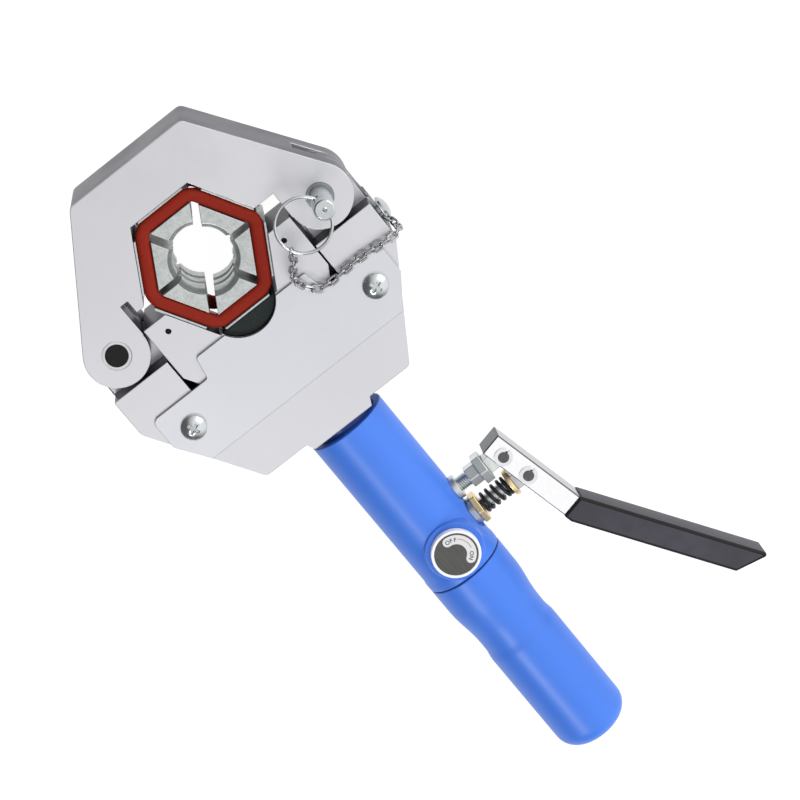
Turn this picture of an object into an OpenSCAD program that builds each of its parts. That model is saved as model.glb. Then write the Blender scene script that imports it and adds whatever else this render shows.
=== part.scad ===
// Hand-pumped hydraulic hose crimper, lying on its back with the dies open.
// The origin is the crimp axis half way through the head; the handle points to -Y.
// Sizes are millimetres and +Z is up.

/* [Head] */
// Thickness of the yoke and the head body
head_t = 50; // [40:0.5:60]
// Full width of the head body
head_w = 179; // [160:1:200]
// Top edge of the yoke above the crimp axis
yoke_top = 67.5; // [60:0.5:75]
// Slope of the yoke's slanted sides from the top edge
yoke_slope = 55.1; // [48:0.1:62]
// Rounding of the yoke's top corners
yoke_corner_r = 5; // [2:0.5:8]
// Sideways distance of each ear centre
hinge_x = 71; // [66:0.5:76]
// Drop of the ear centres below the crimp axis
hinge_drop = 12; // [8:0.5:16]
// Radius of the rounded ears
ear_r = 18.6; // [15:0.1:22]
// Thickness of the body's tongues between the ears
tongue_t = 14; // [10:0.5:20]
// Play on each side of a tongue
tongue_play = 0.3; // [0.1:0.05:0.6]
// Radius of the slot in the yoke that clears a tongue
clevis_r = 27.6; // [24:0.1:30]
// Width of the shoulders between the dies and the ears
shoulder_w = 10; // [8:0.5:12]
// Height of the yoke's right inner shoulder
shoulder_right = 5; // [0:0.5:8]
// Height of the yoke's left inner shoulder
shoulder_left = 0; // [-1:0.5:8]
// Width of the relief beside the left shoulder
relief_w = 5; // [3:0.5:8]
// Height of the relief beside the left shoulder
relief_top = 8; // [6:0.5:12]
// Top edge of the body's lugs below the crimp axis
lug_drop = 32; // [28:0.5:36]
// Bottom edge of the head body below the crimp axis
body_drop = 118.5; // [110:0.5:126]
// Slope of the body's slanted sides from its bottom edge
body_slope = 58.2; // [50:0.1:64]
// Distance of the body's slanted sides from the crimp axis
body_side = 105.5; // [98:0.5:112]
// Width of the block under the head body
boss_w = 45; // [40:0.5:50]
// Height of the block under the head body
boss_h = 5; // [3:0.5:8]
// Radius of the hinge pin
hinge_pin_r = 6.5; // [5:0.1:8]
// Radius of the lock pin
lock_pin_r = 6; // [5:0.1:8]
// Radial clearance of a pin in its hole
pin_fit = 0.05; // [0.02:0.01:0.1]
// Wall of the bushes in the ears
bush_wall = 1.5; // [1:0.1:2.5]
// Lock pin length standing out of the front
lock_pin_out = 37; // [25:1:45]
// Distance of the pull ring's hole below the lock pin's end
ring_drop = 12; // [5:0.5:15]

/* [Dies] */
// Stroke of the ram
stroke = 9; // [6:0.5:10]
// Radius of the closed crimp
crimp_r = 15; // [10:0.5:18]
// Distance of a die's back from the closed crimp axis
die_back = 34.1; // [32:0.1:36]
// Length of the dies along the crimp axis
die_len = 48; // [44:0.5:50]
// Side clearance of each closed die
die_gap = 0.6; // [0.3:0.1:1.2]
// Play of a die's back on its flat
flat_play = 0.05; // [0.02:0.01:0.1]
// Chamfer on the back corners of a die
die_chamfer = 4; // [2:0.5:6]
// Radius of the lead-in at each end of a die
lead_r = 17.6; // [16:0.1:22]
// Length of the lead-in at each end of a die
lead_len = 5; // [3:0.5:12]
// Depth of the grooves between the crimp ridges
ridge_h = 1.6; // [0.5:0.1:2.5]
// Number of crimp ridges
ridges = 3; // [2:1:5]
// Outer lip between a band and the die's back
band_lip = 1.3; // [1:0.1:2]
// Radial width of a band
band_w = 7.8; // [5:0.1:9]
// Length of a band along the crimp axis
band_len = 6; // [4:0.5:8]
// Clearance of a band in its groove
band_fit = 0.1; // [0.05:0.05:0.3]
// Play of the die seat on each side of the mouth
seat_side_play = 1; // [0.5:0.1:2]
// Top of the die seat below the crimp axis
seat_drop = 10.5; // [9.5:0.5:14]
// Bottom of the die seat below the crimp axis
seat_foot = 60; // [56:0.5:64]
// Width of the chamfer under the seat
seat_cut_w = 9; // [3:0.5:12]
// Height of the chamfer under the seat
seat_cut_h = 15; // [5:0.5:18]
// Play of the seat between the cover plates
seat_play = 0.2; // [0.1:0.05:0.4]
// Radius of the round thrust pad under the bottom die
pad_r = 20.6; // [18:0.1:22]
// Lowest point of the thrust pad below the crimp axis
pad_drop = 50; // [47:0.5:52]

/* [Ram] */
// Radius of the ram bore
bore_r = 19; // [16:0.5:20]
// Radius of the ram rod
rod_r = 14; // [11:0.5:15]
// Radial clearance of the piston and the rod
ram_fit = 0.05; // [0.02:0.01:0.1]
// Height of the gland ring
ram_gland_h = 9; // [6:0.5:12]
// Free room for the return spring
ram_spring_len = 22; // [20:0.5:26]
// Wire radius of the return spring
ram_wire_r = 1; // [0.8:0.1:1.2]
// Height of the piston
piston_h = 15; // [12:0.5:18]
// Oil room under the piston
oil_h = 4; // [2:0.5:6]
// Least wall round the ram bore
bore_wall = 4; // [3:0.5:6]
// Least floor under the ram bore
bore_floor = 5; // [4:0.5:8]
// Height of the piston's seal
seal_h = 5; // [3:0.5:6]
// Depth of the seal's groove
seal_depth = 3.5; // [2.5:0.1:5]

/* [Covers] */
// Thickness of the cover plates
cover_t = 2; // [1.5:0.1:3]
// Half width of the wings
cover_hw = 80; // [74:0.5:84]
// Top edge of the wings below the crimp axis
wing_drop = 53; // [50:0.5:58]
// Half width of the raised middle at its foot
middle_hw = 40.5; // [36:0.5:46]
// Top edge of the raised middle below the crimp axis
middle_drop = 39.7; // [39:0.1:46]
// Bottom edge of the plates below the crimp axis
cover_foot = 91; // [84:0.5:100]
// Sideways distance of the screws
screw_x = 64; // [58:0.5:70]
// Drop of the screws below the crimp axis
screw_drop = 70; // [64:0.5:76]
// Radius of the screw heads
screw_head_r = 7.3; // [6:0.1:8.5]
// Height of the screw heads
screw_head_h = 4.2; // [3:0.1:5.5]
// Radius of the screw shanks
screw_r = 4; // [3:0.1:5]

/* [Handle] */
// Radius of the pump barrel
barrel_r = 24.2; // [22:0.1:26]
// Gap between the head body and the barrel
neck_gap = 4.8; // [2:0.1:8]
// Joint of barrel and handle tube below the crimp axis
joint_drop = 240; // [230:1:250]
// Thickness of the seal in that joint
joint_gap = 0.8; // [0.4:0.1:1.5]
// Radius of the collar at the joint
collar_r = 24.6; // [23:0.1:27]
// Length of the collar below the joint
collar_len = 17.2; // [12:0.2:24]
// Length of the taper from the collar to the waist
taper_len = 26; // [18:0.5:34]
// Radius of the waist in the handle tube
waist_r = 22.2; // [20:0.1:24]
// Length of the waist
waist_len = 6; // [3:0.5:12]
// Length of the swell from the waist to the grip
swell_len = 8; // [5:0.5:14]
// Radius of the grip of the handle tube
grip_r = 23.2; // [21:0.1:25]
// Lower end of the handle tube below the crimp axis
handle_end = 374; // [350:1:390]
// Rounding of the lower end
end_round = 12; // [6:0.5:16]
// Radius of the spigot that joins barrel and tube
spigot_r = 19; // [16:0.5:20]
// Wall of the oil bladder
bladder_wall = 1.5; // [1:0.1:2.5]

/* [Pump] */
// Distance of the fulcrum pin from the handle axis
fulcrum_x = 57.8; // [52:0.1:64]
// Distance of the fulcrum pin above the joint of barrel and handle tube
fulcrum_step = 40; // [36:0.5:48]
// Sideways step from the fulcrum pin to the plunger pin
pin_step_x = 4.5; // [3:0.1:6]
// Step along the handle from the fulcrum pin to the plunger pin
pin_step_y = 18; // [15:0.1:22]
// Radius of the plunger
plunger_r = 4; // [3:0.1:5]
// Inner end of the plunger from the handle axis
plunger_back = 10; // [8:0.5:12]
// Radius of the plunger's eye
plunger_eye_r = 4.8; // [4.4:0.1:5.2]
// Radial clearance of the plunger in the gland
plunger_fit = 0.05; // [0.02:0.01:0.1]
// Squeeze angle of the lever
squeeze = 25; // [15:1:28]
// Outer face of the gland nut from the handle axis
gland_face = 30; // [28:0.5:33]
// Inner face of the plunger's washer from the handle axis
washer_face = 50; // [47:0.5:51]
// Thickness of the plunger's washer
washer_t = 2.6; // [2:0.1:3]
// Radius of the plunger's washer
washer_r = 8.5; // [7:0.1:9]
// Coil radius of the plunger spring
spring_r = 5.45; // [5.2:0.05:5.8]
// Wire radius of the plunger spring
spring_wire_r = 1.05; // [0.8:0.05:1.2]
// Turns of the plunger spring
spring_turns = 4.6; // [3.5:0.1:5]
// Outer face of the stud's flange from the handle axis
flange_face = 27; // [25:0.5:29]
// Inner face of the stud's hexagon from the handle axis
hex_face = 34; // [31:0.5:36]
// Corner radius of the stud's hexagon
hex_r = 7; // [6:0.1:8]
// Inner face of the lock nut from the handle axis
nut_face = 41; // [38:0.5:43]
// Height of the lock nut
nut_h = 5.5; // [4:0.1:7]
// Corner radius of the lock nut
nut_r = 10; // [8:0.1:12]
// Radius of the stud
stud_r = 4; // [3:0.1:5]
// Thickness of the tongues that the lever pins pass through
eye_t = 10; // [8:0.5:12]
// Radius of both lever pins
lever_pin_r = 3.2; // [2.5:0.1:4]

/* [Lever] */
// Width of the lever channel
lever_w = 18; // [14:0.5:22]
// Sheet thickness of the lever channel
lever_t = 2.5; // [2:0.1:3.5]
// Lean of the lever's upper part from the handle
lean_up = 13.5; // [8:0.5:20]
// Lean of the lever's grip from the handle
lean_down = 33.2; // [26:0.1:38]
// Back of the channel beyond the fulcrum pin
channel_back = 8.2; // [7.5:0.05:9]
// Depth of the channel
channel_depth = 13.9; // [12:0.05:17]
// Upper end of the channel beyond the fulcrum pin
channel_end = 10.8; // [9:0.1:13]
// Offset of the grip's back from the fulcrum pin
grip_back = 8.95; // [7:0.05:10]
// Depth of the grip
grip_depth = 16; // [14:0.1:18]
// Wall of the grip
grip_wall = 1.4; // [1:0.1:2]
// Lip of the grip over the channel's open side
grip_lip = 0.6; // [0.4:0.1:1]
// Rounding of the grip's tip
tip_round = 1.6; // [1:0.1:3]
// Distance of the grip's start from the fulcrum pin
grip_start = 50.5; // [48:0.5:54]
// Distance of the grip's inner tip from the fulcrum pin
grip_inner = 155; // [145:0.1:165]
// Distance of the grip's outer tip from the fulcrum pin
grip_outer = 171; // [160:0.5:180]

/* [Release knob] */
// Sideways offset of the knob from the handle axis
knob_x = 3.9; // [0:0.1:5]
// Distance of the knob above the joint of barrel and handle tube
knob_step = 18.2; // [17:0.1:24]
// Radius of the knob
knob_r = 14.4; // [12:0.1:17]
// Rim width of the knob
knob_rim = 1.7; // [1:0.1:3]
// Height of the knob
knob_h = 4.6; // [3:0.1:7]
// Rise of the boss under the knob above the barrel
boss_rise = 1.6; // [1:0.1:4]
// Radius of the boss under the knob
knob_boss_r = 17.5; // [16:0.5:20]
// Radius of the release needle
needle_r = 3; // [2.5:0.1:4]

/* [Lock pin ring and chain] */
// Radius of the pull ring
ring_r = 15.4; // [12:0.1:18]
// Wire radius of the pull ring
ring_wire_r = 0.9; // [0.6:0.05:1.2]
// Turn of the pull ring about the lock pin
ring_turn = 7; // [0:1:20]
// Wire radius of a chain link
link_wire_r = 0.5; // [0.4:0.05:0.8]
// Inner length of a chain link
link_in = 5.7; // [4.5:0.1:7]
// Inner width of a chain link
link_gap = 2.8; // [2.2:0.1:3.5]
// Play between two links
link_play = 0.65; // [0.3:0.05:0.9]
// Radius of the anchor screw's head
anchor_r = 7; // [6:0.5:7]
// Height of the washer under the chain's eye ring
anchor_lift = 1.6; // [1.2:0.1:2.5]
// Radius of the chain's eye ring
eye_r = 6.5; // [5:0.5:8]
// Drop of the anchor screw below the crimp axis
anchor_drop = 43; // [40:0.5:50]
// Height of the anchor screw above the middle of the head
anchor_z = 3; // [0:0.5:10]

/* [Output] */
// Node to draw, or all of them

/* [Hidden] */
$fn = 96;
eps = 0.01;
cut = 2;
hinge_y = -hinge_drop;
slope_n = [sin(yoke_slope), cos(yoke_slope)];
slope_d = slope_n * [hinge_x, hinge_y] + ear_r;
slope_foot = [hinge_x, hinge_y] + ear_r * slope_n;
yoke_top_x = (slope_d - slope_n[1] * yoke_top) / slope_n[0];
body_hw = head_w / 2;
body_side_y = -(body_side - body_hw * sin(body_slope)) / cos(body_slope);
body_foot_x = (body_side - body_drop * cos(body_slope)) / sin(body_slope);
flat_top = die_back + stroke / 2 + flat_play;
flat_side = die_back + stroke / 4 + flat_play;
die_slide = stroke / 2 * cos(30);
mouth_hw = flat_side / cos(30) + shoulder_w;
seat_hw = mouth_hw - seat_side_play;
slot_floor = seat_foot + 1;
pad_y = pad_r - pad_drop;
gland_foot = slot_floor + ram_gland_h;
piston_top = gland_foot + ram_spring_len;
piston_foot = piston_top + piston_h;
seal_top = (piston_top + piston_foot - seal_h) / 2;
bore_foot = piston_foot + oil_h;
barrel_top = max(body_drop + boss_h, bore_foot + bore_floor) + neck_gap;
neck_end = barrel_top + 14;
hinge_bush_r = hinge_pin_r + pin_fit + bush_wall;
lock_bush_r = lock_pin_r + pin_fit + bush_wall;
cheek_t = head_t / 2 - tongue_t / 2 - tongue_play;
fulcrum_drop = joint_drop - fulcrum_step;
plunger_drop = fulcrum_drop + pin_step_y;
plunger_pin_x = fulcrum_x + pin_step_x;
eye_slot = (norm([pin_step_x, pin_step_y]) - pin_step_y) / 2;
stud_face = barrel_r - 1.5;
stud_hole = barrel_r - 12;
gland_seat = barrel_r - 2;
up_u = [sin(lean_up), -cos(lean_up)];
up_n = [cos(lean_up), sin(lean_up)];
down_u = [sin(lean_down), -cos(lean_down)];
down_n = [cos(lean_down), sin(lean_down)];
knob_drop = joint_drop - knob_step;
boss_top = barrel_r + boss_rise;
knob_face = boss_top + 0.3;
ring_z = head_t / 2 + lock_pin_out - ring_drop;
ring_c = [hinge_x, hinge_y] - (ring_r - 0.55) * [cos(ring_turn), sin(ring_turn)];
link_pitch = link_in - link_play;
cover_z = head_t / 2 + cover_t;
chain_z = cover_z + 2.7;
silver = [0.78, 0.79, 0.82];
steel = [0.62, 0.63, 0.65];
dark = [0.12, 0.12, 0.13];
blue = [0.16, 0.36, 0.9];
brass = [0.85, 0.7, 0.4];
red = [0.65, 0.13, 0.1];

function unit(v) = v / norm(v);

// Corner q of a path from p to s, rounded with radius r
function fillet(p, q, s, r) =
    let (ua = unit(p - q), ub = unit(s - q), half = acos(ua * ub) / 2)
    let (c = q + unit(ua + ub) * r / sin(half), reach = r / tan(half))
    [for (i = [0:8]) c + r * unit((q + ua * reach - c) * (8 - i) + (q + ub * reach - c) * i)];

function rounded(pts, radii) =
    let (n = len(pts))
    [for (i = [0:n - 1])
        each radii[i] > 0 ? fillet(pts[(i + n - 1) % n], pts[i], pts[(i + 1) % n], radii[i]) : [pts[i]]];

function flip(pts) = [for (i = [len(pts) - 1:-1:0]) [-pts[i][0], pts[i][1]]];

function flat_x(y) = (flat_side - abs(y) * sin(30)) / cos(30);

// Hexagon with the dies' flats moved inwards by d
function band_hexagon(d) =
    let (t = flat_top - d, s = flat_side - d)
    let (x = (s - t * sin(30)) / cos(30), w = s / cos(30))
    [[x, t], [-x, t], [-w, 0], [-x, -t], [x, -t], [w, 0]];

module along_x(x, y, z) {
    translate([x, y, z]) rotate([0, 90, 0]) children();
}

// Turns a shape drawn along +Z so that it runs down the handle from drop d
module down_handle(d) {
    translate([0, -d, 0]) rotate([90, 0, 0]) children();
}

module both_sides() {
    children();
    mirror([0, 0, 1]) children();
}

// Ring of wire points of a coil
function coil_ring(r, w, a, z) =
    [for (k = [0:5]) [(r + w * cos(k * 60)) * cos(a), (r + w * cos(k * 60)) * sin(a), z + w * sin(k * 60)]];

function coil_points(r, w, len, turns) =
    let (n = round(turns * 8))
    [for (i = [0:n]) each coil_ring(r, w, i * 45, w + (len - 2 * w) * i / n)];

// Least gap between wire points that are most of a turn apart
function coil_gap(pts) =
    min([for (i = [0:len(pts) - 1]) for (j = [i + 36:1:min(i + 66, len(pts) - 1)]) norm(pts[i] - pts[j])]);

module coil(r, w, len, turns) {
    pts = coil_points(r, w, len, turns);
    n = len(pts) / 6 - 1;
    walls = [for (i = [0:n - 1]) for (k = [0:5]) each
        [[i * 6 + k, i * 6 + 6 + k, i * 6 + (k + 1) % 6],
         [i * 6 + (k + 1) % 6, i * 6 + 6 + k, i * 6 + 6 + (k + 1) % 6]]];
    caps = [for (k = [1:4]) each [[0, k, k + 1], [n * 6, n * 6 + k + 1, n * 6 + k]]];
    polyhedron(pts, concat(walls, caps));
}

module yoke_outline() {
    difference() {
        union() {
            polygon(rounded([slope_foot, [yoke_top_x, yoke_top], [-yoke_top_x, yoke_top],
                             [-slope_foot[0], slope_foot[1]], [-hinge_x, hinge_y], [hinge_x, hinge_y]],
                            [0, yoke_corner_r, yoke_corner_r, 0, 0, 0]));
            translate([hinge_x, hinge_y]) circle(ear_r);
            translate([-hinge_x, hinge_y]) circle(ear_r);
        }
        polygon([[mouth_hw, hinge_y - ear_r - cut], [mouth_hw, shoulder_right],
                 [flat_x(shoulder_right), shoulder_right], [flat_x(flat_top), flat_top],
                 [-flat_x(flat_top), flat_top], [-flat_x(shoulder_left), shoulder_left],
                 [relief_w - mouth_hw, shoulder_left], [relief_w - mouth_hw, relief_top],
                 [-mouth_hw, relief_top], [-mouth_hw, hinge_y - ear_r - cut]]);
    }
}

module yoke() {
    color(silver) difference() {
        linear_extrude(head_t, center = true) yoke_outline();
        for (s = [-1, 1])
            translate([s * hinge_x, hinge_y, 0])
                cylinder(h = tongue_t + 2 * tongue_play, r = clevis_r, center = true);
        translate([-hinge_x, hinge_y, 0]) cylinder(h = head_t + cut, r = hinge_bush_r, center = true);
        translate([hinge_x, hinge_y, 0]) cylinder(h = head_t + cut, r = lock_bush_r, center = true);
    }
}

module bush_pair(x, r_in, r_out) {
    translate([x, hinge_y, 0]) both_sides()
        translate([0, 0, tongue_t / 2 + tongue_play]) difference() {
            cylinder(h = cheek_t, r = r_out);
            translate([0, 0, -1]) cylinder(h = cheek_t + cut, r = r_in);
        }
}

module hinge_bushes() {
    color(steel) bush_pair(-hinge_x, hinge_pin_r + pin_fit, hinge_bush_r);
}

module lock_bushes() {
    color(steel) bush_pair(hinge_x, lock_pin_r + pin_fit, lock_bush_r);
}

module hinge_pin() {
    color(dark) translate([-hinge_x, hinge_y, 0]) cylinder(h = head_t, r = hinge_pin_r, center = true);
}

module body_outline() {
    polygon(rounded([[body_hw, -lug_drop], [-body_hw, -lug_drop], [-body_hw, body_side_y],
                     [-body_foot_x, -body_drop], [body_foot_x, -body_drop], [body_hw, body_side_y]],
                    [1, 1, 8, 4, 4, 8]));
}

module tongue_outline() {
    circle(ear_r);
    translate([-ear_r, -lug_drop - hinge_y - cut]) square([2 * ear_r, lug_drop + hinge_y + cut]);
}

module head_body() {
    color(silver) difference() {
        union() {
            linear_extrude(head_t, center = true) body_outline();
            for (s = [-1, 1])
                translate([s * hinge_x, hinge_y, 0])
                    linear_extrude(tongue_t, center = true) tongue_outline();
            linear_extrude(head_t, center = true)
                polygon([[-boss_w / 2, cut - body_drop], [-boss_w / 2, -body_drop],
                         [2.5 - boss_w / 2, -body_drop - boss_h], [boss_w / 2 - 2.5, -body_drop - boss_h],
                         [boss_w / 2, -body_drop], [boss_w / 2, cut - body_drop]]);
            down_handle(body_drop) cylinder(h = neck_end - body_drop, r = spigot_r);
            down_handle(slot_floor) cylinder(h = bore_foot + bore_floor - slot_floor, r = bore_r + bore_wall);
        }
        translate([-mouth_hw, -slot_floor, -head_t]) cube([2 * mouth_hw, slot_floor, 2 * head_t]);
        down_handle(slot_floor - cut) cylinder(h = bore_foot - slot_floor + cut, r = bore_r);
        down_handle(bore_foot - cut) cylinder(h = neck_end - bore_foot + 2 * cut, r = 2.5);
        translate([-hinge_x, hinge_y, 0]) cylinder(h = head_t, r = hinge_pin_r, center = true);
        translate([hinge_x, hinge_y, 0]) cylinder(h = head_t, r = lock_pin_r + pin_fit, center = true);
        for (s = [-1, 1])
            translate([s * screw_x, -screw_drop, 0]) both_sides()
                translate([0, 0, head_t / 2 - 14]) cylinder(h = 14 + cut, r = screw_r);
        along_x(body_hw - 10, -anchor_drop, anchor_z) cylinder(h = 10 + cut, r = 3);
    }
}

module cover_outline() {
    side_x = (body_side - cover_foot * cos(body_slope)) / sin(body_slope) - 0.6;
    wing_y = -(body_side - cover_hw * sin(body_slope)) / cos(body_slope) - 1;
    half = [[middle_hw - 2.5, -middle_drop], [middle_hw, -wing_drop], [cover_hw, -wing_drop],
            [cover_hw, wing_y], [side_x, -cover_foot]];
    difference() {
        polygon(rounded(concat(half, flip(half)), [2, 2, 4, 1, 0, 0, 1, 4, 2, 2]));
        translate([0, pad_y]) circle(pad_r);
        for (s = [-1, 1])
            translate([s * screw_x, -screw_drop]) circle(screw_r);
    }
}

module cover_plate() {
    color(silver) translate([0, 0, head_t / 2]) linear_extrude(cover_t) cover_outline();
}

module front_cover() {
    cover_plate();
}

module rear_cover() {
    mirror([0, 0, 1]) cover_plate();
}

// Pan head with a cross recess, on a plain shank
module cover_screw() {
    translate([0, 0, -12]) cylinder(h = 12 + eps, r = screw_r);
    difference() {
        intersection() {
            cylinder(h = screw_head_h, r = screw_head_r);
            translate([0, 0, screw_head_h - 11]) sphere(11);
        }
        for (a = [0, 90])
            rotate(a + 20) translate([-3.6, -0.9, screw_head_h - 2.4]) cube([7.2, 1.8, 4]);
    }
}

module cover_screws() {
    color(steel) both_sides()
        for (s = [-1, 1])
            translate([s * screw_x, -screw_drop, cover_z]) cover_screw();
}

module lock_pin() {
    color(steel) translate([hinge_x, hinge_y, 0]) difference() {
        union() {
            translate([0, 0, 1 - head_t / 2]) cylinder(h = head_t + lock_pin_out - 2, r = lock_pin_r);
            translate([0, 0, -head_t / 2]) cylinder(h = 1, r1 = lock_pin_r - 1, r2 = lock_pin_r);
            translate([0, 0, head_t / 2 + lock_pin_out - 1])
                cylinder(h = 1, r1 = lock_pin_r, r2 = lock_pin_r - 1);
        }
        translate([0, 0, head_t / 2 + lock_pin_out - 1.5]) cylinder(h = 2, r1 = 0.2, r2 = 1.6);
        translate([0, 0, ring_z]) rotate([90, 0, ring_turn])
            cylinder(h = 4 * lock_pin_r, r = 1.9, center = true);
    }
}

module pull_ring() {
    color(steel) translate([ring_c[0], ring_c[1], ring_z])
        rotate_extrude() translate([ring_r, 0]) circle(ring_wire_r, $fn = 32);
}

// One die in its closed place, its back towards +Y
module die() {
    half_back = die_back * tan(30) - die_gap / cos(30);
    step = (die_len - 2 * lead_len) / ridges;
    difference() {
        linear_extrude(die_len, center = true)
            polygon([[0, die_gap / sin(30)], [half_back - die_chamfer * tan(30), die_back - die_chamfer],
                     [half_back - die_chamfer, die_back], [die_chamfer - half_back, die_back],
                     [die_chamfer * tan(30) - half_back, die_back - die_chamfer]]);
        cylinder(h = die_len + cut, r = crimp_r, center = true);
        both_sides()
            translate([0, 0, die_len / 2 - lead_len]) cylinder(h = lead_len, r1 = crimp_r, r2 = lead_r);
        for (i = [1:ridges - 1])
            translate([0, 0, i * step - die_len / 2 + lead_len])
                cylinder(h = step / 2, r = crimp_r + ridge_h, center = true);
        both_sides()
            translate([-die_back, die_back - band_lip - band_w - 2 * band_fit, die_len / 2 - band_len])
                cube([2 * die_back, band_w + 2 * band_fit, band_len + cut]);
    }
}

// A die turned by a to its flat and moved by v from its closed place
module placed_die(a, v) {
    color(silver) translate([v[0], stroke / 2 + v[1], 0]) rotate(a) die();
}

module top_die() {
    placed_die(0, [0, 0]);
}

module upper_right_die() {
    placed_die(-60, die_slide * [sin(30), -cos(30)]);
}

module upper_left_die() {
    placed_die(60, die_slide * [-sin(30), -cos(30)]);
}

module lower_right_die() {
    placed_die(-120, [0, -stroke] + die_slide * [sin(30), cos(30)]);
}

module lower_left_die() {
    placed_die(120, [0, -stroke] + die_slide * [-sin(30), cos(30)]);
}

module bottom_die() {
    placed_die(180, [0, -stroke]);
}

module band() {
    outer = band_lip + band_fit;
    color(red) translate([0, 0, die_len / 2 - band_len]) linear_extrude(band_len) difference() {
        polygon(rounded(band_hexagon(outer), [5, 5, 7, 5, 5, 7]));
        polygon(rounded(band_hexagon(outer + band_w), [1.5, 1.5, 1.5, 1.5, 1.5, 1.5]));
    }
}

module front_band() {
    band();
}

module rear_band() {
    mirror([0, 0, 1]) band();
}

module die_seat() {
    color(silver) difference() {
        linear_extrude(head_t - 2 * seat_play, center = true) difference() {
            polygon([[seat_hw, -seat_drop], [-seat_hw, -seat_drop], [-seat_hw, seat_cut_h - seat_foot],
                     [seat_cut_w - seat_hw, -seat_foot], [seat_hw - seat_cut_w, -seat_foot],
                     [seat_hw, seat_cut_h - seat_foot]]);
            polygon([[flat_x(0), cut], [-flat_x(0), cut], [-flat_x(0), 0], [-flat_x(flat_top), -flat_top],
                     [flat_x(flat_top), -flat_top], [flat_x(0), 0]]);
            translate([0, pad_y]) circle(pad_r);
        }
        for (s = [-1, 1])
            translate([s * 40.5, -19, head_t / 2 - 10]) cylinder(h = 10 + cut, r = 1.5);
        down_handle(pad_drop) cylinder(h = seat_foot, r = 5);
    }
}

module thrust_pad() {
    color(dark) linear_extrude(die_len - 2 * seat_play, center = true) difference() {
        translate([0, pad_y]) circle(pad_r);
        translate([-pad_r, -flat_top]) square([2 * pad_r, 2 * pad_r]);
    }
}

module ram_piston() {
    color(steel) difference() {
        union() {
            down_handle(pad_drop + 1) cylinder(h = seat_foot - pad_drop, r = 5);
            down_handle(seat_foot) cylinder(h = piston_top - seat_foot + 1, r = rod_r);
            down_handle(piston_top) cylinder(h = piston_h, r = bore_r - ram_fit);
        }
        down_handle(seal_top) difference() {
            cylinder(h = seal_h, r = bore_r + cut);
            translate([0, 0, -1]) cylinder(h = seal_h + cut, r = bore_r - seal_depth);
        }
    }
}

module ram_seal() {
    color(dark) down_handle(seal_top) difference() {
        cylinder(h = seal_h, r = bore_r - 0.02);
        translate([0, 0, -1]) cylinder(h = seal_h + cut, r = bore_r - seal_depth);
    }
}

module ram_gland() {
    color(steel) down_handle(slot_floor) difference() {
        cylinder(h = ram_gland_h, r = bore_r);
        translate([0, 0, -1]) cylinder(h = ram_gland_h + cut, r = rod_r + ram_fit);
    }
}

module ram_spring() {
    color(dark) down_handle(gland_foot)
        coil((bore_r + rod_r) / 2, ram_wire_r, ram_spring_len, 4);
}

module pump_barrel() {
    color(blue) difference() {
        union() {
            down_handle(barrel_top) cylinder(h = joint_drop - barrel_top, r = barrel_r);
            down_handle(joint_drop - 5) cylinder(h = 5, r = collar_r);
            down_handle(joint_drop - 7) cylinder(h = 2, r1 = barrel_r, r2 = collar_r);
            down_handle(joint_drop - 1) cylinder(h = 13, r = spigot_r);
            down_handle(joint_drop + 11) cylinder(h = 10, r = 6);
            translate([knob_x, -knob_drop, 0]) cylinder(h = boss_top, r = knob_boss_r);
        }
        down_handle(barrel_top - cut) cylinder(h = neck_end - barrel_top + cut, r = spigot_r);
        down_handle(neck_end - 1) cylinder(h = joint_drop + 22 - neck_end + cut, r = 2.5);
        down_handle(fulcrum_drop - 7) cylinder(h = 17, r = 4);
        down_handle(plunger_drop + 7) cylinder(h = 9, r = 4);
        along_x(stud_face, -fulcrum_drop, 0) cylinder(h = barrel_r, r = hex_r + 1);
        along_x(stud_hole, -fulcrum_drop, 0) cylinder(h = barrel_r, r = stud_r);
        along_x(gland_seat, -plunger_drop, 0) cylinder(h = barrel_r, r = 10.6);
        along_x(14, -plunger_drop, 0) cylinder(h = barrel_r, r = 7);
        along_x(0, -plunger_drop, 0) cylinder(h = barrel_r, r = plunger_r + plunger_fit);
        translate([knob_x, -knob_drop, 12]) cylinder(h = barrel_r, r = needle_r + pin_fit);
        translate([knob_x, -knob_drop, 9]) cylinder(h = 4, r = 1.2);
        translate([knob_x, -knob_drop, 9]) rotate([-90, 0, 0])
            cylinder(h = knob_drop - fulcrum_drop + 2, r = 1.2);
        translate([knob_x - 1, -fulcrum_drop, 0]) cylinder(h = 9.5, r = 1.2);
        translate([knob_x, -knob_drop, 14]) rotate([90, 0, 0]) cylinder(h = 16, r = 1.2);
        translate([knob_x - 1, -knob_drop - 15, 0]) cylinder(h = 14.5, r = 1.2);
    }
}

module joint_seal() {
    color(dark) down_handle(joint_drop) difference() {
        cylinder(h = joint_gap, r = collar_r - 0.6);
        translate([0, 0, -1]) cylinder(h = joint_gap + cut, r = spigot_r);
    }
}

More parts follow.
